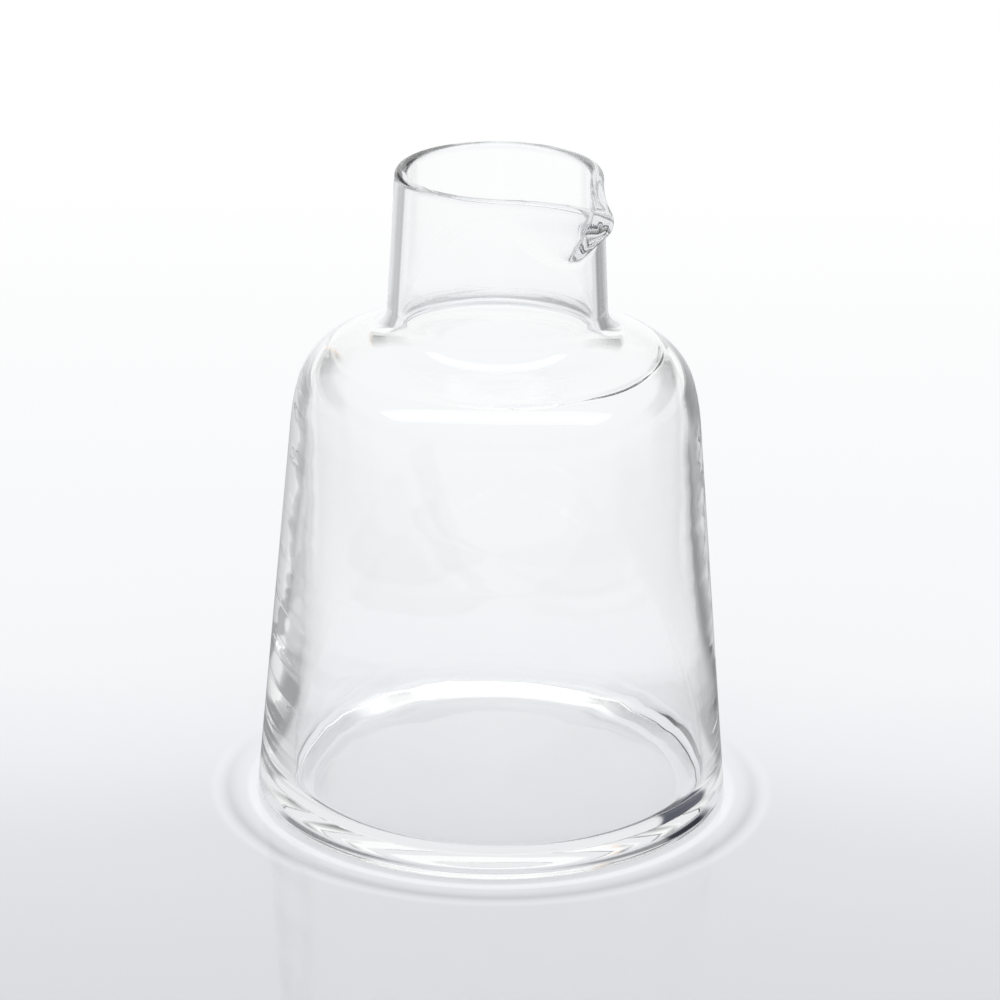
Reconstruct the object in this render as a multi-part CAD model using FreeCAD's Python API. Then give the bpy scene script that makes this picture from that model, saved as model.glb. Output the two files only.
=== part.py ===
import FreeCAD, Part
import math
import os

# A glass carafe, blown in one piece: a heavy foot, a body that tapers upward, a round
# shoulder, a short neck, and a beak pulled out of the hot rim for pouring.
# Millimetres, +Z up, origin at the centre of the foot, beak towards +X.

V = FreeCAD.Vector
UP = V(0, 0, 1)

# Heights
carafe_height = 160.0
neck_height = 39.6           # neck root up to the rim
shoulder_rise = 6.2          # shoulder corner up to the neck root
lean_height = 12.5           # where the wall starts to lean in, up to the shoulder corner

# Outer radii at the corners of the outline, before these are rounded
base_radius = 58.2
upper_body_radius = 49.3
shoulder_radius = 45.8
neck_root_radius = 26.85
rim_radius = 24.9

# Roundings of those corners
heel_round = 3.2
lean_share = 0.94            # part of the leaning run, beside the shoulder's arc, that its own arc takes
shoulder_round = 15.2
neck_round = 7.8

# Thickness of the glass at the same corners, and of the floor
base_wall = 6.2
upper_body_wall = 3.2
shoulder_wall = 3.0
neck_root_wall = 3.3
rim_wall = 3.2
floor_thickness = 3.5
inner_corner_round = 6.4
shoulder_inner_round = 12.2
neck_inner_round = 11.0
rim_round_share = 0.47       # fire-polished edge, each side, as part of the rim wall

# Foot: a flat ring round a shallow dome
foot_ring_width = 9.0
dome_rise = 0.8

# Beak: outside
beak_projection = 12.1       # nose beyond the rim
beak_drop = 17.5             # root of the keel below the rim
beak_face_drop = 7.0         # the slanting keel turns upright this far below the rim
beak_face_round = 5.0
beak_nose_round = 2.5
beak_side_round = 80.0       # hollow sweep of the sides, in plan
beak_root_step = 0.5         # how far the keel already stands out at its root
beak_dip = 3.0               # nose below the rest of the rim
beak_dip_start = 10.0        # distance from the axis where the rim starts to dip

# Beak: the channel inside it
channel_drop = 16.0          # root of the channel below the rim
channel_face_drop = 4.7
channel_nose_glass = 5.5     # glass in front of the channel at the nose
channel_nose_round = 1.3

section_count = 9            # sections that each beak surface is drawn through
overshoot = 2.0              # how far cutting shapes pass the rim


def unit(vector):
    return V(vector).normalize()


def radius_at(height, low, high):
    """Radius at a height on the straight line between two corners."""
    return low.x + (high.x - low.x) * (height - low.z) / (high.z - low.z)


def rounded_outline(corners, rounds):
    """Edges of an open outline in the XZ plane, with its inner corners rounded."""
    edges = []
    start = corners[0]
    for i, radius in enumerate(rounds, 1):
        corner = corners[i]
        back = unit(corners[i - 1] - corner)
        ahead = unit(corners[i + 1] - corner)
        half_angle = back.getAngle(ahead) / 2
        middle = unit(back + ahead)
        setback = radius / math.tan(half_angle)
        centre = corner + middle * (radius / math.sin(half_angle))
        arc_start = corner + back * setback
        arc_end = corner + ahead * setback
        edges.append(Part.makeLine(start, arc_start))
        edges.append(Part.Arc(arc_start, centre - middle * radius, arc_end).toShape())
        start = arc_end
    edges.append(Part.makeLine(start, corners[-1]))
    return edges


def largest_round(corners, i, next_round):
    """The widest arc at corner i that leaves the next corner's arc its part of the run."""
    run = corners[i + 1] - corners[i]
    half_angle = unit(corners[i - 1] - corners[i]).getAngle(run) / 2
    next_half_angle = unit(corners[i + 2] - corners[i + 1]).getAngle(-run) / 2
    free_run = run.Length - next_round / math.tan(next_half_angle)
    return lean_share * free_run * math.tan(half_angle)


def inner_corner(before, corner, after, wall):
    """The corner moved into the glass along its mitre, by the wall's thickness."""
    back = unit(before - corner)
    ahead = unit(after - corner)
    inward = unit(V(back.z - ahead.z, 0, ahead.x - back.x))
    return corner + inward * (wall / math.sin(back.getAngle(ahead) / 2))


def outer_corners():
    """Base, lean, shoulder, neck root and rim."""
    neck_root_height = carafe_height - neck_height
    shoulder_height = neck_root_height - shoulder_rise
    return [
        V(base_radius, 0, 0),
        V(upper_body_radius, 0, shoulder_height - lean_height),
        V(shoulder_radius, 0, shoulder_height),
        V(neck_root_radius, 0, neck_root_height),
        V(rim_radius, 0, carafe_height),
    ]


def inner_corners():
    """The same five corners on the inside of the glass."""
    outer = outer_corners()
    base = V(radius_at(floor_thickness, outer[0], outer[1]) - base_wall, 0, floor_thickness)
    walls = [upper_body_wall, shoulder_wall, neck_root_wall]
    middle = [inner_corner(*outer[i:i + 3], wall) for i, wall in enumerate(walls)]
    return [base] + middle + [V(rim_radius - rim_wall, 0, carafe_height)]


def turned(edges):
    """The solid that an outline sweeps out round the axis."""
    return Part.Face(Part.Wire(edges)).revolve(V(0, 0, 0), UP, 360)


def body(corners, top_height):
    """The outside as a solid, from the foot to the root of the beak."""
    ring_inside = V(base_radius - heel_round - foot_ring_width, 0, 0)
    top = V(radius_at(top_height, corners[3], corners[4]), 0, top_height)
    lean_round = largest_round(corners, 1, shoulder_round)
    rounds = [heel_round, lean_round, shoulder_round, neck_round]
    edges = rounded_outline([ring_inside] + corners[:4] + [top], rounds)
    top_centre = V(0, 0, top_height)
    dome_centre = V(0, 0, dome_rise)
    sphere_radius = (ring_inside.x ** 2 + dome_rise ** 2) / (2 * dome_rise)
    halfway = ring_inside.x / 2
    sag = sphere_radius - math.sqrt(sphere_radius ** 2 - halfway ** 2)
    dome = Part.Arc(dome_centre, V(halfway, 0, dome_rise - sag), ring_inside).toShape()
    edges += [Part.makeLine(top, top_centre), Part.makeLine(top_centre, dome_centre), dome]
    return turned(edges)


def hollow(corners, top_height):
    """The space inside, from the floor to the root of the channel."""
    floor_centre = V(0, 0, floor_thickness)
    top = V(radius_at(top_height, corners[3], corners[4]), 0, top_height)
    lean_round = largest_round(corners, 1, shoulder_inner_round)
    rounds = [inner_corner_round, lean_round, shoulder_inner_round, neck_inner_round]
    edges = rounded_outline([floor_centre] + corners[:4] + [top], rounds)
    top_centre = V(0, 0, top_height)
    edges += [Part.makeLine(top, top_centre), Part.makeLine(top_centre, floor_centre)]
    return turned(edges)


def ridge_reach(height, root, corner, rounding):
    """Distance of a ridge from the axis: it slopes out to a corner and turns upright."""
    slope = unit(corner - root)
    setback = rounding * math.tan(slope.getAngle(UP) / 2)
    arc_top = corner.z + setback
    if height <= corner.z - setback * slope.z:
        return root.x + (height - root.z) * slope.x / slope.z
    if height >= arc_top:
        return corner.x
    return corner.x - rounding + math.sqrt(rounding ** 2 - (arc_top - height) ** 2)


def beaked_section(height, radius, reach, nose_round):
    """A circle with a pointed beak: a long arc, two hollow sides and a round nose."""
    nose_centre = V(reach - nose_round, 0, height)
    to_side = radius + beak_side_round
    nose_to_side = nose_round + beak_side_round
    touch = math.acos(
        (to_side ** 2 + nose_centre.x ** 2 - nose_to_side ** 2) / (2 * to_side * nose_centre.x)
    )
    side_centre = V(to_side * math.cos(touch), to_side * math.sin(touch), height)
    from_neck = V(radius * math.cos(touch), radius * math.sin(touch), height)
    to_nose = nose_centre + unit(side_centre - nose_centre) * nose_round
    middle = (from_neck + to_nose) * 0.5
    side_middle = side_centre + unit(middle - side_centre) * beak_side_round
    back = V(-radius, 0, height)
    nose = V(reach, 0, height)

    def mirrored(point):
        return V(point.x, -point.y, point.z)

    return Part.Wire([
        Part.Arc(from_neck, back, mirrored(from_neck)).toShape(),
        Part.Arc(mirrored(from_neck), mirrored(side_middle), mirrored(to_nose)).toShape(),
        Part.Arc(mirrored(to_nose), nose, to_nose).toShape(),
        Part.Arc(to_nose, side_middle, from_neck).toShape(),
    ])


def beaked_tube(corners, root_height, face_height, reach, nose_round):
    """The neck with its beak, as a solid drawn through level sections."""
    root = V(radius_at(root_height, corners[3], corners[4]) + beak_root_step, 0, root_height)
    corner = V(reach, 0, face_height)
    sections = []
    for i in range(section_count):
        share = i / (section_count - 1)
        height = root_height + (carafe_height + overshoot - root_height) * share
        radius = radius_at(height, corners[3], corners[4])
        ridge = ridge_reach(height, root, corner, beak_face_round)
        sections.append(beaked_section(height, radius, ridge, nose_round))
    return Part.makeLoft(sections, True, False)


def below_rim():
    """All that lies below the rim, which is level but dips towards the nose."""
    run = rim_radius + beak_projection - beak_dip_start
    dip_radius = (run ** 2 + beak_dip ** 2) / (2 * beak_dip)

    def dip_point(distance):
        fall = dip_radius - math.sqrt(dip_radius ** 2 - distance ** 2)
        return V(beak_dip_start + distance, 0, carafe_height - fall)

    side = 2 * base_radius
    level_start = V(-side, 0, carafe_height)
    dip_start = dip_point(0)
    dip_end = dip_point(run + overshoot)
    far_end = V(side, 0, dip_end.z)
    outline = [
        Part.makeLine(level_start, dip_start),
        Part.Arc(dip_start, dip_point(run / 2), dip_end).toShape(),
        Part.makeLine(dip_end, far_end),
        Part.makeLine(far_end, V(side, 0, -side)),
        Part.makeLine(V(side, 0, -side), V(-side, 0, -side)),
        Part.makeLine(V(-side, 0, -side), level_start),
    ]
    profile = Part.Face(Part.Wire(outline))
    profile.translate(V(0, -side, 0))
    return profile.extrude(V(0, 2 * side, 0))


def rim_edges(glass):
    """The edges between the cut top of the glass and its walls."""
    lowest = carafe_height - beak_dip - overshoot
    tops = [f for f in glass.Faces if f.BoundBox.ZMin > lowest]
    edges = [edge for face in tops for edge in face.Edges]
    return [e for e in edges if sum(e.isSame(other) for other in edges) == 1]


def carafe():
    outer = outer_corners()
    inner = inner_corners()
    nose_reach = rim_radius + beak_projection
    beak_root = carafe_height - beak_drop
    channel_root = carafe_height - channel_drop
    beak_face = carafe_height - beak_face_drop
    channel_face = carafe_height - channel_face_drop
    channel_reach = nose_reach - channel_nose_glass
    outside = body(outer, beak_root).fuse(
        beaked_tube(outer, beak_root, beak_face, nose_reach, beak_nose_round)
    )
    inside = hollow(inner, channel_root).fuse(
        beaked_tube(inner, channel_root, channel_face, channel_reach, channel_nose_round)
    )
    glass = outside.cut(inside).common(below_rim())
    return glass.makeFillet(rim_round_share * rim_wall, rim_edges(glass)).removeSplitter()


os.makedirs("parts", exist_ok=True)
carafe().exportStep("parts/carafe.step")
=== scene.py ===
import math

import bpy
import numpy as np
from mathutils import Matrix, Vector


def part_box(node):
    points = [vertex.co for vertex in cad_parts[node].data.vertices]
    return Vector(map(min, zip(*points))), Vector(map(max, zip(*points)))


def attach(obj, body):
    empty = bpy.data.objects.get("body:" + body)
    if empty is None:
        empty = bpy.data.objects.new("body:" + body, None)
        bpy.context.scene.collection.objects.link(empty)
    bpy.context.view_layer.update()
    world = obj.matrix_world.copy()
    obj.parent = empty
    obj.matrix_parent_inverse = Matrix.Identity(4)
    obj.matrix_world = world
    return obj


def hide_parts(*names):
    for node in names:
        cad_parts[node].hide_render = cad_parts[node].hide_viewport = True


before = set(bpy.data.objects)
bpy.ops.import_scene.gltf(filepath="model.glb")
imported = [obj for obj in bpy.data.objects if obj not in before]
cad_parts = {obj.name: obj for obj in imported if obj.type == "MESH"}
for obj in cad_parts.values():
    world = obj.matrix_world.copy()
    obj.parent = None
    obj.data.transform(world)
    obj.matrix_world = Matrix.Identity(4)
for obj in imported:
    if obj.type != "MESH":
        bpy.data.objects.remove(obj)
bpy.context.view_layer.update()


# ---------------------------------------------------------------- the carafe's glass
# The carafe is a single piece of clear soda glass, blown and worked hot: the foot is left
# thick, the wall thins towards the shoulder, the rim is melted round and the beak is pulled
# out of it with a wet stick. Nothing is fixed to it.

foot_low, rim_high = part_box("carafe")
rim_height = rim_high[2] - foot_low[2]
neck_height = 0.0396
shoulder_rise = 0.0062
lean_height = 0.0125
neck_root_height = rim_height - neck_height
shoulder_height = neck_root_height - shoulder_rise
lean_corner_height = shoulder_height - lean_height

outer_corners = [
    (0.0582, 0.0),
    (0.0493, lean_corner_height),
    (0.0458, shoulder_height),
    (0.02685, neck_root_height),
    (0.0249, rim_height),
]
heel_round = 0.0032
shoulder_round = 0.0152
neck_round = 0.0078
lean_share = 0.94
walls = [0.0032, 0.0030, 0.0033]
base_wall = 0.0062
rim_wall = 0.0032
floor_thickness = 0.0035
inner_corner_round = 0.0064
shoulder_inner_round = 0.0122
neck_inner_round = 0.0110
rim_round = 0.0016
foot_ring_inner = 0.0460
dome_rise = 0.0008

beak_projection = 0.0121
beak_drop = 0.0175
beak_face_drop = 0.0070
beak_face_round = 0.0050
beak_nose_round = 0.0025
beak_side_round = 0.080
beak_dip = 0.0030
beak_dip_start = 0.0100
channel_drop = 0.0160
channel_face_drop = 0.0047
channel_nose_glass = 0.0055
channel_nose_round = 0.0013

angle_count = 272
angle_crowding = 0.62


def unit(vector):
    return vector / np.linalg.norm(vector)


def radius_at(height, low, high):
    return low[0] + (high[0] - low[0]) * (height - low[1]) / (high[1] - low[1])


def rounded_outline(corners, rounds, spacing=0.0016, arc_step=math.radians(5)):
    """Points (radius, height) along straight runs joined by arcs."""
    points = [np.array(corners[0], float)]
    for i, radius in enumerate(rounds, 1):
        before, corner, after = (np.array(corners[i + k], float) for k in (-1, 0, 1))
        back, ahead = unit(before - corner), unit(after - corner)
        half_angle = math.acos(np.clip(back @ ahead, -1, 1)) / 2
        middle = unit(back + ahead)
        setback = radius / math.tan(half_angle)
        centre = corner + middle * radius / math.sin(half_angle)
        sweep = math.pi - 2 * half_angle
        steps = max(3, math.ceil(sweep / arc_step))
        start = corner + back * setback
        points += straight_run(points[-1], start, spacing)
        turn = math.copysign(sweep, back[1] * ahead[0] - back[0] * ahead[1])
        for k in range(1, steps + 1):
            angle = turn * k / steps
            arm = start - centre
            points.append(centre + np.array([
                arm[0] * math.cos(angle) - arm[1] * math.sin(angle),
                arm[0] * math.sin(angle) + arm[1] * math.cos(angle),
            ]))
    return points + straight_run(points[-1], np.array(corners[-1], float), spacing)


def straight_run(start, end, spacing):
    count = max(1, round(np.linalg.norm(end - start) / spacing))
    return [start + (end - start) * k / count for k in range(1, count + 1)]


def inner_corner(before, corner, after, wall):
    back = unit(np.subtract(before, corner))
    ahead = unit(np.subtract(after, corner))
    inward = unit(np.array([back[1] - ahead[1], ahead[0] - back[0]]))
    half_sine = math.sin(math.acos(np.clip(back @ ahead, -1, 1)) / 2)
    return np.array(corner) + inward * wall / half_sine


def largest_round(corners, i, next_round):
    """The widest arc at corner i that leaves the next corner's arc its part of the run."""
    before, corner, after, beyond = (np.array(corners[i + k], float) for k in (-1, 0, 1, 2))
    run = after - corner
    half_angle = math.acos(unit(before - corner) @ unit(run)) / 2
    next_half_angle = math.acos(unit(beyond - after) @ unit(-run)) / 2
    free_run = np.linalg.norm(run) - next_round / math.tan(next_half_angle)
    return lean_share * free_run * math.tan(half_angle)


inner_corners = [(radius_at(floor_thickness, *outer_corners[:2]) - base_wall, floor_thickness)]
for i, wall in enumerate(walls):
    inner_corners.append(inner_corner(*outer_corners[i:i + 3], wall))
inner_corners.append((outer_corners[4][0] - rim_wall, rim_height))
outer_rounds = [
    heel_round, largest_round(outer_corners, 1, shoulder_round), shoulder_round, neck_round
]
inner_rounds = [
    inner_corner_round, largest_round(inner_corners, 1, shoulder_inner_round),
    shoulder_inner_round, neck_inner_round,
]


def ridge_reach(height, root, corner, rounding):
    """Distance of the beak's ridge from the axis: out along a slope, then upright."""
    slope = unit(np.subtract(corner, root))
    setback = rounding * math.tan(math.acos(slope[1]) / 2)
    arc_top = corner[1] + setback
    if height <= corner[1] - setback * slope[1]:
        return root[0] + (height - root[1]) * slope[0] / slope[1]
    if height >= arc_top:
        return corner[0]
    return corner[0] - rounding + math.sqrt(rounding ** 2 - (arc_top - height) ** 2)


def beaked_radius(angle, radius, reach, nose_round):
    """Radius of a round neck with a pointed beak at angle 0, in plan."""
    if reach <= radius:
        return np.full_like(angle, radius)
    nose = reach - nose_round
    to_side = radius + beak_side_round
    nose_to_side = nose_round + beak_side_round
    touch = math.acos((to_side ** 2 + nose ** 2 - nose_to_side ** 2) / (2 * to_side * nose))
    side = np.array([to_side * math.cos(touch), to_side * math.sin(touch)])
    meet = np.array([nose, 0]) + nose_round * unit(side - np.array([nose, 0]))
    meet_angle = math.atan2(meet[1], meet[0])
    away = np.abs(angle)
    across = np.sqrt(np.maximum(beak_side_round ** 2 - (to_side * np.sin(away - touch)) ** 2, 0))
    sweep = to_side * np.cos(away - touch) - across
    tip = nose * np.cos(away) + np.sqrt(np.maximum(nose_round ** 2 - (nose * np.sin(away)) ** 2, 0))
    return np.where(away <= meet_angle, tip, np.where(away < touch, sweep, radius))


def rim_fall(distance):
    """How far the rim dips, by distance towards the beak."""
    run = outer_corners[4][0] + beak_projection - beak_dip_start
    dip_radius = (run ** 2 + beak_dip ** 2) / (2 * beak_dip)
    past = np.clip(distance - beak_dip_start, 0, None)
    return dip_radius - np.sqrt(dip_radius ** 2 - past ** 2)


steps = np.linspace(-math.pi, math.pi, angle_count, endpoint=False)
angles = steps - angle_crowding * np.sin(steps)
nose_reach = outer_corners[4][0] + beak_projection
channel_reach = nose_reach - channel_nose_glass
neck_line = outer_corners[3:5]
bore_line = [tuple(inner_corners[3]), inner_corners[4]]


def beak_ring(height, line, drop, reach, face_drop, nose_round):
    root_height = rim_height - drop
    root = (radius_at(root_height, *line), root_height)
    ridge = ridge_reach(height, root, (reach, rim_height - face_drop), beak_face_round)
    return beaked_radius(angles, radius_at(height, *line), ridge, nose_round)


def outside_ring(height):
    return beak_ring(height, neck_line, beak_drop, nose_reach, beak_face_drop, beak_nose_round)


def inside_ring(height):
    return beak_ring(
        height, bore_line, channel_drop, channel_reach, channel_face_drop, channel_nose_round
    )


rings = []
ring_start = (foot_ring_inner, 0.0)
sphere_radius = (foot_ring_inner ** 2 + dome_rise ** 2) / (2 * dome_rise)
for radius in np.linspace(0.002, foot_ring_inner, 22)[:-1]:
    sag = sphere_radius - math.sqrt(sphere_radius ** 2 - radius ** 2)
    rings.append((np.full(angle_count, radius), np.full(angle_count, dome_rise - sag)))

beak_root_height = rim_height - beak_drop
top = (radius_at(beak_root_height, *neck_line), beak_root_height)
for radius, height in rounded_outline([ring_start] + outer_corners[:4] + [top], outer_rounds):
    rings.append((np.full(angle_count, radius), np.full(angle_count, height)))

share_steps = np.linspace(0, 1, 21)[1:]
outer_edge = outside_ring(rim_height)
outer_top = rim_height - rim_fall(outer_edge * np.cos(angles)) - rim_round
for share in share_steps:
    level = beak_root_height + share * (outer_top - beak_root_height)
    ring = np.array([outside_ring(h)[k] for k, h in enumerate(level)])
    rings.append((ring, level))

inner_edge = inside_ring(rim_height)
inner_top = rim_height - rim_fall(inner_edge * np.cos(angles)) - rim_round
channel_root_height = rim_height - channel_drop
inner_side = []
for share in share_steps:
    level = channel_root_height + share * (inner_top - channel_root_height)
    ring = np.array([inside_ring(h)[k] for k, h in enumerate(level)])
    inner_side.append((ring, level))

outer_last, inner_last = rings[-1], inner_side[-1]
for turn in np.linspace(0, math.pi, 13)[1:-1]:
    blend = (1 - math.cos(turn)) / 2
    radius = outer_last[0] + (inner_last[0] - outer_last[0]) * blend
    height = outer_last[1] + (inner_last[1] - outer_last[1]) * blend + rim_round * math.sin(turn)
    rings.append((radius, height))
rings += inner_side[::-1]

bore_top = (radius_at(channel_root_height, *bore_line), channel_root_height)
floor_start = (0.002, floor_thickness)
# Each ripple of the inner wall: depth, wavelength, turns round the body, phase.
ripples = [
    (0.000010, 0.0068, 1, 0.4), (0.000006, 0.0047, -2, 1.9), (0.000016, 0.0170, 1, 3.1),
    (0.000030, 0.0410, 1, 0.9), (0.000040, 0.0900, -2, 2.2),
]
thin_side = math.radians(45)
wall_shift = 0.0013
ripple_fade_height = 0.030
ripple_inner_radius = 0.040
ripple_fade_width = 0.006
shift_fade_height = 0.09
shift_full_radius = 0.04
inside = rounded_outline([floor_start] + inner_corners[:4] + [bore_top], inner_rounds)

# A shallow uneven ring inside the shoulder, on the beak's side.
seam_radius = 0.0387
seam_depth = 0.0006
seam_half_width = 0.0006
seam_clearance = 0.0008
seam_side = math.radians(-5)


def seam_place(points):
    """Index of the first point past the ring on the way in over the shoulder."""
    return next(
        i for i, (radius, height) in enumerate(points)
        if radius < seam_radius and height > lean_corner_height
    )


at = seam_place(inside)
run = inside[at] - inside[at - 1]
seam = {}
for step in (1.0, 0.5, 0.0, -0.5, -1.0):
    offset = step * seam_half_width
    point = inside[at - 1] + run * (seam_radius + offset - inside[at - 1][0]) / run[0]
    seam[tuple(point)] = 1 - abs(step)
inside = [
    p for p in inside
    if p[1] < lean_corner_height or abs(p[0] - seam_radius) > seam_clearance
]
at = seam_place(inside)
inside[at:at] = [np.array(p) for p in seam]
seam_reach = np.clip(3 * np.cos(angles - seam_side) - 1.6, 0, 1)
seam_reach = seam_reach * (0.6 + 0.4 * np.sin(9 * angles + 1))

for point in inside[::-1]:
    radius, height = point
    below_shoulder = shoulder_height - height
    swell = np.clip(below_shoulder / ripple_fade_height, 0, 1)
    swell = swell * np.clip((radius - ripple_inner_radius) / ripple_fade_width, 0, 1)
    wave = sum(
        size * np.sin(2 * math.pi * (height - foot_low[2]) / length + turns * angles + phase)
        for size, length, turns, phase in ripples
    )
    lean_over = wall_shift * np.clip(below_shoulder / shift_fade_height, 0, 1)
    lean_over = lean_over * np.clip(radius / shift_full_radius, 0, 1) * np.cos(angles - thin_side)
    dent = seam_depth * seam.get(tuple(point), 0.0) * seam_reach
    rings.append((radius + swell * wave + lean_over, height - dent))

vertices = []
for radius, height in rings:
    for r, z, a in zip(radius, height, angles):
        vertices.append((r * math.cos(a), r * math.sin(a), z + foot_low[2]))
faces = []
for row in range(len(rings) - 1):
    for k in range(angle_count):
        n = (k + 1) % angle_count
        faces.append((
            row * angle_count + k, row * angle_count + n,
            (row + 1) * angle_count + n, (row + 1) * angle_count + k,
        ))
under = len(vertices)
vertices.append((0, 0, foot_low[2] + dome_rise))
vertices.append((0, 0, foot_low[2] + floor_thickness))
last = (len(rings) - 1) * angle_count
for k in range(angle_count):
    n = (k + 1) % angle_count
    faces.append((under, n, k))
    faces.append((under + 1, last + k, last + n))

glass_mesh = bpy.data.meshes.new("carafe_glass")
glass_mesh.from_pydata(vertices, [], faces)
glass_mesh.polygons.foreach_set("use_smooth", [True] * len(faces))
glass_mesh.validate()
glass = bpy.data.objects.new("carafe_glass", glass_mesh)
bpy.context.collection.objects.link(glass)

clear_glass = bpy.data.materials.new("clear_glass")
clear_glass.use_nodes = True
nodes, links = clear_glass.node_tree.nodes, clear_glass.node_tree.links
shader = nodes["Principled BSDF"]
shader.inputs["Base Color"].default_value = (0.99, 0.995, 0.995, 1)
shader.inputs["Roughness"].default_value = 0.0
shader.inputs["IOR"].default_value = 1.5
shader.inputs["Transmission Weight"].default_value = 1.0
place = nodes.new("ShaderNodeTexCoord")
waviness = nodes.new("ShaderNodeTexNoise")
waviness.inputs["Scale"].default_value = 110
waviness.inputs["Detail"].default_value = 1
links.new(place.outputs["Object"], waviness.inputs["Vector"])
bump = nodes.new("ShaderNodeBump")
bump.inputs["Strength"].default_value = 0.08
bump.inputs["Distance"].default_value = 0.0001
links.new(waviness.outputs["Fac"], bump.inputs["Height"])
links.new(bump.outputs["Normal"], shader.inputs["Normal"])
wear = nodes.new("ShaderNodeTexNoise")
wear.inputs["Scale"].default_value = 900
wear.inputs["Detail"].default_value = 3
links.new(place.outputs["Object"], wear.inputs["Vector"])
dulled = nodes.new("ShaderNodeMapRange")
dulled.inputs["From Min"].default_value = 0.45
dulled.inputs["From Max"].default_value = 0.80
dulled.inputs["To Max"].default_value = 0.015
links.new(wear.outputs["Fac"], dulled.inputs["Value"])
links.new(dulled.outputs["Result"], shader.inputs["Roughness"])
glass_mesh.materials.append(clear_glass)

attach(glass, "root")
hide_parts("carafe")


# ---------------------------------------------------------------- floor
# A wide sheet of pale board, running back into the light, with painted shade darker towards the
# front.
# The ring, crescent and dark band at the foot are painted shadow and light, not cast: a shadow ring
# with bright lines, a white crescent of light and a dark contact shadow. So are dark sectors,
# painted reflections that only rays reflected in or off the glass see: they darken the glass's
# edges, and are set for the view from the front.
view_turn = math.radians(45)
floor_half = 3.0
floor_mesh = bpy.data.meshes.new("floor")
floor_corners = [(-floor_half, -floor_half), (floor_half, -floor_half),
                 (floor_half, floor_half), (-floor_half, floor_half)]
floor_mesh.from_pydata([(x, y, foot_low[2]) for x, y in floor_corners], [], [(0, 1, 2, 3)])
floor = bpy.data.objects.new("floor", floor_mesh)
bpy.context.collection.objects.link(floor)
board = bpy.data.materials.new("pale_board")
board.use_nodes = True
tree = board.node_tree
nodes, links = tree.nodes, tree.links
nodes.clear()


def math_node(operation, *values):
    node = tree.nodes.new("ShaderNodeMath")
    node.operation = operation
    for socket, value in zip(node.inputs, values):
        if isinstance(value, (int, float)):
            socket.default_value = value
        else:
            tree.links.new(value, socket)
    return node.outputs["Value"]


def share_node(value, low, high):
    """0 where the value is at or under low, 1 at or over high."""
    node = tree.nodes.new("ShaderNodeMapRange")
    tree.links.new(value, node.inputs["Value"])
    node.inputs["From Min"].default_value = low
    node.inputs["From Max"].default_value = high
    return node.outputs["Result"]


def ramp_node(value, stops):
    """A colour ramp; each stop is a position and a grey or a colour."""
    node = tree.nodes.new("ShaderNodeValToRGB")
    elements = node.color_ramp.elements
    while len(elements) < len(stops):
        elements.new(0.5)
    for element, (position, color) in zip(elements, stops):
        element.position = position
        element.color = (*color, 1) if isinstance(color, tuple) else (color, color, color, 1)
    tree.links.new(value, node.inputs["Fac"])
    return node.outputs["Color"]


def bearing_ramp(stops):
    """A ramp by bearing in degrees: 0 is straight behind the carafe, minus is left."""
    return ramp_node(bearing, [(0.5 + degrees / 360, tone) for degrees, tone in stops])


def blend_node(share, first, second, mode="MIX"):
    node = tree.nodes.new("ShaderNodeMix")
    node.data_type = "RGBA"
    node.blend_type = mode
    sockets = (node.inputs[0], node.inputs[6], node.inputs[7])
    for socket, value in zip(sockets, (share, first, second)):
        if isinstance(value, (int, float)):
            socket.default_value = value
        elif isinstance(value, tuple):
            socket.default_value = (*value, 1)
        else:
            tree.links.new(value, socket)
    return node.outputs[2]


def turned_axes(vector):
    """Sideways, away and up, with the beak pointing to the right and forwards."""
    turned = tree.nodes.new("ShaderNodeVectorRotate")
    turned.rotation_type = "Z_AXIS"
    turned.inputs["Angle"].default_value = -view_turn
    tree.links.new(vector, turned.inputs["Vector"])
    split = tree.nodes.new("ShaderNodeSeparateXYZ")
    tree.links.new(turned.outputs["Vector"], split.inputs["Vector"])
    return split.outputs["X"], split.outputs["Y"], split.outputs["Z"]


def bearing_of(across, away):
    turns = math_node("DIVIDE", math_node("ARCTAN2", across, away), 2 * math.pi)
    return math_node("ADD", turns, 0.5)


path = nodes.new("ShaderNodeLightPath")
geometry = nodes.new("ShaderNodeNewGeometry")
across, away, up = turned_axes(geometry.outputs["Position"])
bearing = bearing_of(across, away)
distance = math_node("SQRT", math_node(
    "ADD", math_node("MULTIPLY", across, across), math_node("MULTIPLY", away, away)
))
along = share_node(away, -0.16, 0.50)

# The board's pale colour, with painted shade that makes it darker towards the front.
board_and_painted_light = ramp_node(along, [
    (0.0, (0.62, 0.635, 0.665)), (0.118, (0.695, 0.705, 0.735)), (0.188, (0.75, 0.76, 0.79)),
    (0.259, (0.838, 0.85, 0.88)), (0.35, (0.90, 0.91, 0.93)), (1.0, (1.0, 1.0, 1.0)),
])

# Painted shadow and bright lines in a ring round the foot, by distance from the axis in tenths of a
# metre.
painted_light_and_shadow_ring = ramp_node(share_node(distance, 0.0, 0.1), [
    (0.0, 1.0), (0.580, 1.0), (0.586, 1.22), (0.602, 1.22), (0.612, 1.02), (0.630, 0.95),
    (0.655, 0.70), (0.675, 0.96), (0.688, 1.04), (0.705, 0.93), (1.0, 0.93),
])
in_front = bearing_ramp([
    (-180, 1.0), (-110, 1.0), (-75, 0.25), (-60, 0.0), (60, 0.0), (75, 0.25), (110, 1.0),
    (180, 1.0),
])
board_and_painted_light = blend_node(in_front, board_and_painted_light, blend_node(1.0, board_and_painted_light, painted_light_and_shadow_ring, "MULTIPLY"))
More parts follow.
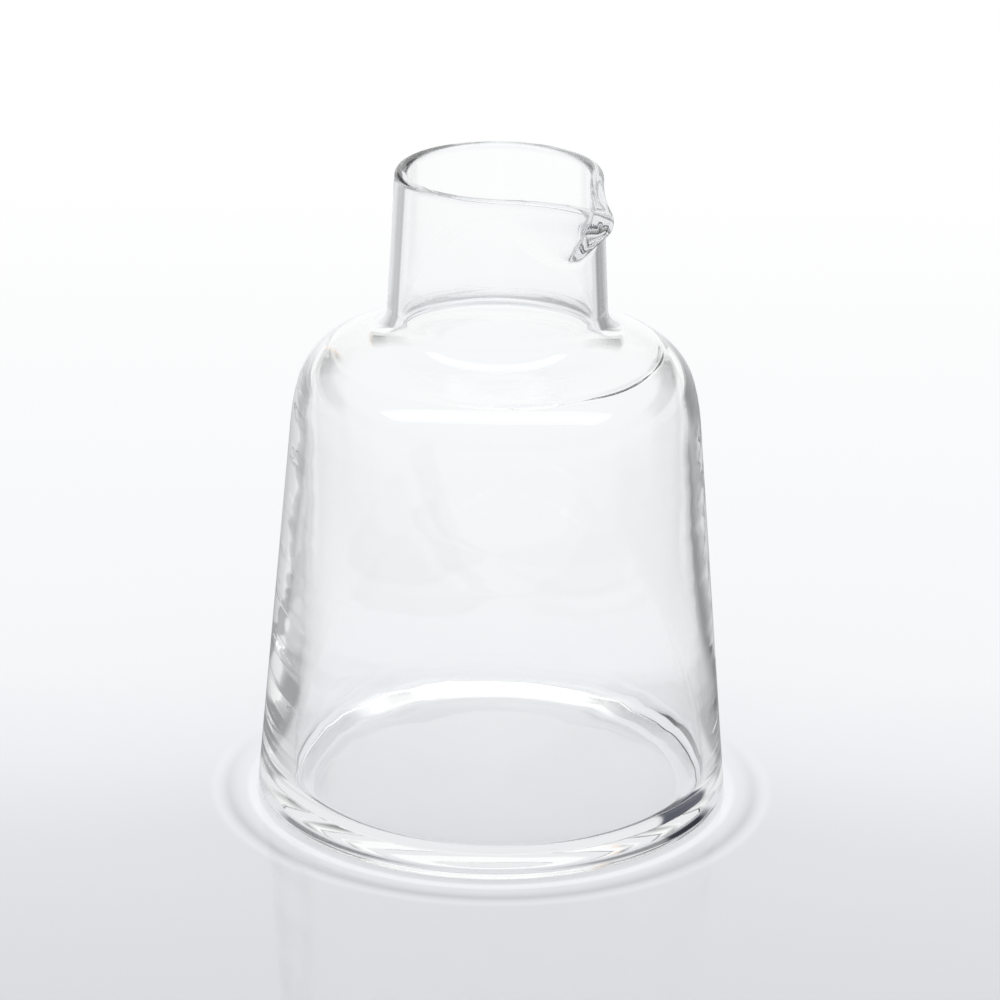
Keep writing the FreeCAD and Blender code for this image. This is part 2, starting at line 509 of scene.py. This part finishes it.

# Painted light: a white crescent behind the foot, on an oval a little wider from side to side.
oval_squeeze = 0.887
squeezed = math_node("MULTIPLY", across, oval_squeeze)
oval = math_node("SQRT", math_node(
    "ADD", math_node("MULTIPLY", squeezed, squeezed), math_node("MULTIPLY", away, away)
))
painted_light_crescent = math_node("MULTIPLY", share_node(oval, 0.0440, 0.0460), share_node(oval, 0.0570, 0.0545))
painted_light_crescent = math_node("MULTIPLY", painted_light_crescent, bearing_ramp([
    (-50, 0.0), (-42, 1.0), (36, 1.0), (44, 0.0),
]))
board_and_painted_light = blend_node(painted_light_crescent, board_and_painted_light, (1.25, 1.25, 1.25))

# Painted contact shadow: a dark band under the heel, in two stretches at the front.
band_inner = share_node(distance, 0.0470, 0.0480)
band_outer = share_node(distance, 0.0550, 0.0538)
painted_contact_shadow = math_node("MULTIPLY", band_inner, band_outer)
painted_contact_shadow = math_node("MULTIPLY", painted_contact_shadow, bearing_ramp([
    (-168, 0.0), (-160, 0.4), (-145, 1.0), (-115, 1.0), (-108, 0.0), (104, 0.0), (110, 1.0),
    (150, 1.0), (162, 0.5), (172, 0.0),
]))
board_and_painted_light = blend_node(painted_contact_shadow, board_and_painted_light, (0.03, 0.03, 0.035))

# Painted dark reflections: sectors that only reflected rays see, near the foot, further out and far
# off, with a set under the foot and a dark patch at its right, which darken the glass's edges.
close_by = bearing_ramp([
    (-180, 0.85), (-90, 0.72), (-79, 0.68), (-75, 0.32), (-45, 0.32), (-38, 0.36), (-28, 0.44),
    (-8, 0.40), (8, 0.70), (22, 0.80), (35, 0.60), (46, 0.47), (74, 0.47), (78, 0.74), (180, 0.85),
])
midway = bearing_ramp([
    (-180, 0.90), (-58, 0.66), (-51, 0.60), (-46, 0.32), (-31, 0.32), (-26, 0.45), (-19, 0.42),
    (-14, 0.26), (-8, 0.26), (-4, 1.0), (4, 1.0), (9, 0.50), (16, 0.42), (21, 0.45), (30, 0.42),
    (41, 0.46), (47, 0.28), (51, 0.25), (55, 0.42), (60, 0.70), (180, 0.90),
])
far_off = bearing_ramp([
    (-180, 0.93), (-47, 0.93), (-43, 0.48), (-31, 0.48), (-23, 0.68), (-15, 1.0), (9, 1.0),
    (14, 0.60), (21, 0.45), (27, 0.36), (40, 0.26), (46, 0.80), (180, 0.93),
])
under_foot = bearing_ramp([
    (-180, 0.86), (-100, 0.86), (-95, 0.34), (-55, 0.34), (-48, 0.86), (-37, 0.86), (-35, 0.42),
    (-28, 0.42), (-26.5, 0.86), (28, 0.86), (32, 0.03), (56, 0.03), (62, 0.25), (90, 0.30),
    (96, 0.86), (180, 0.86),
])
painted_dark_patch_right = bearing_ramp([(-180, 0.0), (102, 0.0), (105, 1.0), (125, 1.0), (127, 0.0), (180, 0.0)])
painted_dark_reflections = blend_node(share_node(distance, 0.10, 0.13), close_by, midway)
painted_dark_reflections = blend_node(share_node(distance, 0.28, 0.40), painted_dark_reflections, far_off)
painted_dark_reflections = blend_node(share_node(distance, 0.060, 0.055), painted_dark_reflections, under_foot)
painted_dark_patch_right = math_node("MULTIPLY", painted_dark_patch_right, share_node(distance, 0.068, 0.064))
painted_dark_reflections = blend_node(painted_dark_patch_right, painted_dark_reflections, (0.06, 0.065, 0.09))
painted_dark_reflections = blend_node(1.0, painted_dark_reflections, (0.97, 0.985, 1.0), "MULTIPLY")
reflected = math_node("MINIMUM", path.outputs["Glossy Depth"], 1.0)
glow = nodes.new("ShaderNodeEmission")
links.new(blend_node(reflected, board_and_painted_light, painted_dark_reflections), glow.inputs["Color"])
diffuse = nodes.new("ShaderNodeBsdfDiffuse")
diffuse.inputs["Color"].default_value = (0.86, 0.87, 0.88, 1)
seen = math_node("MAXIMUM", path.outputs["Is Camera Ray"], path.outputs["Is Transmission Ray"])
seen = math_node("MAXIMUM", seen, path.outputs["Is Glossy Ray"])
near_glow, extra_glow = 0.8, 0.2
further_back = math_node("MULTIPLY", share_node(away, 0.05, 0.5), extra_glow)
glow_share = math_node("MAXIMUM", reflected, math_node("ADD", near_glow, further_back))
mix = nodes.new("ShaderNodeMixShader")
links.new(math_node("MULTIPLY", seen, glow_share), mix.inputs["Fac"])
links.new(diffuse.outputs["BSDF"], mix.inputs[1])
links.new(glow.outputs["Emission"], mix.inputs[2])
gloss = nodes.new("ShaderNodeBsdfGlossy")
gloss.inputs["Roughness"].default_value = 0.05
gloss.inputs["Color"].default_value = (1, 1, 1, 1)
fresnel = nodes.new("ShaderNodeFresnel")
fresnel.inputs["IOR"].default_value = 1.3
polish = nodes.new("ShaderNodeMixShader")
polish_share = math_node("MULTIPLY", fresnel.outputs["Fac"], path.outputs["Is Camera Ray"])
links.new(polish_share, polish.inputs["Fac"])
links.new(mix.outputs["Shader"], polish.inputs[1])
links.new(gloss.outputs["BSDF"], polish.inputs[2])
output = nodes.new("ShaderNodeOutputMaterial")
links.new(polish.outputs["Shader"], output.inputs["Surface"])
floor_mesh.materials.append(board)


# ---------------------------------------------------------------- light
# White light from all round, and a wide softbox above the front. Rays reflected in or off the
# glass also see a band low in the room with dark stretches and one warm spot, set for the view
# from the front.
world = bpy.data.worlds.new("studio")
world.use_nodes = True
bpy.context.scene.world = world
tree = world.node_tree
nodes, links = tree.nodes, tree.links
background = nodes["Background"]
path = nodes.new("ShaderNodeLightPath")
coordinates = nodes.new("ShaderNodeTexCoord")
across, away, up = turned_axes(coordinates.outputs["Generated"])
bearing = bearing_of(across, away)
room = bearing_ramp([
    (-180, 0.9), (-80, 0.9), (-66, 0.3), (-40, 0.3), (-37, 0.02), (-21, 0.02),
    (-19.5, (1.0, 0.6, 0.3)), (-18, 1.0), (20, 1.0), (22, 0.02), (46, 0.02), (48, 0.3),
    (70, 0.3), (80, 0.9), (180, 0.9),
])
level = math_node("MULTIPLY", share_node(up, 0.15, 0.17), share_node(up, 0.44, 0.38))
surroundings = blend_node(level, (1.0, 1.0, 1.0), room)
reflected = math_node("MINIMUM", path.outputs["Glossy Depth"], 1.0)
links.new(blend_node(reflected, (1.0, 1.0, 1.0), surroundings), background.inputs["Color"])
background.inputs["Strength"].default_value = 1.0

lamp_data = bpy.data.lights.new("softbox", "AREA")
lamp_data.shape = "RECTANGLE"
lamp_data.size = 3.4
lamp_data.size_y = 0.5
lamp_data.energy = 7.1
lamp = bpy.data.objects.new("softbox", lamp_data)
lamp.rotation_euler = (0, 0, view_turn)
lamp_forward = 0.40
lamp.location = (lamp_forward * math.sin(view_turn), -lamp_forward * math.cos(view_turn), 1.4)
bpy.context.collection.objects.link(lamp)
bpy.context.scene.cycles.max_bounces = 32
bpy.context.scene.cycles.transmission_bounces = 32
bpy.context.scene.cycles.glossy_bounces = 32


# ---------------------------------------------------------------- camera
# A long lens in front of the carafe, a little above it and looking down, with the beak to the
# right. It is turned very slightly on its own axis.
camera_distance = 1.046
camera_height = 0.478
camera_fall = math.radians(90 - 21.03)
camera_swing = math.radians(0.07)
camera_lean = math.radians(0.80)
camera_data = bpy.data.cameras.new("camera")
camera_data.sensor_width = 36
camera_data.lens = 165.2
camera = bpy.data.objects.new("camera", camera_data)
camera.matrix_world = (
    Matrix.Translation((
        camera_distance * math.sin(view_turn),
        -camera_distance * math.cos(view_turn),
        camera_height,
    ))
    @ Matrix.Rotation(view_turn - camera_swing, 4, "Z")
    @ Matrix.Rotation(camera_fall, 4, "X")
    @ Matrix.Rotation(camera_lean, 4, "Z")
)
bpy.context.collection.objects.link(camera)
bpy.context.scene.camera = camera
bpy.context.scene.view_settings.view_transform = "Standard"
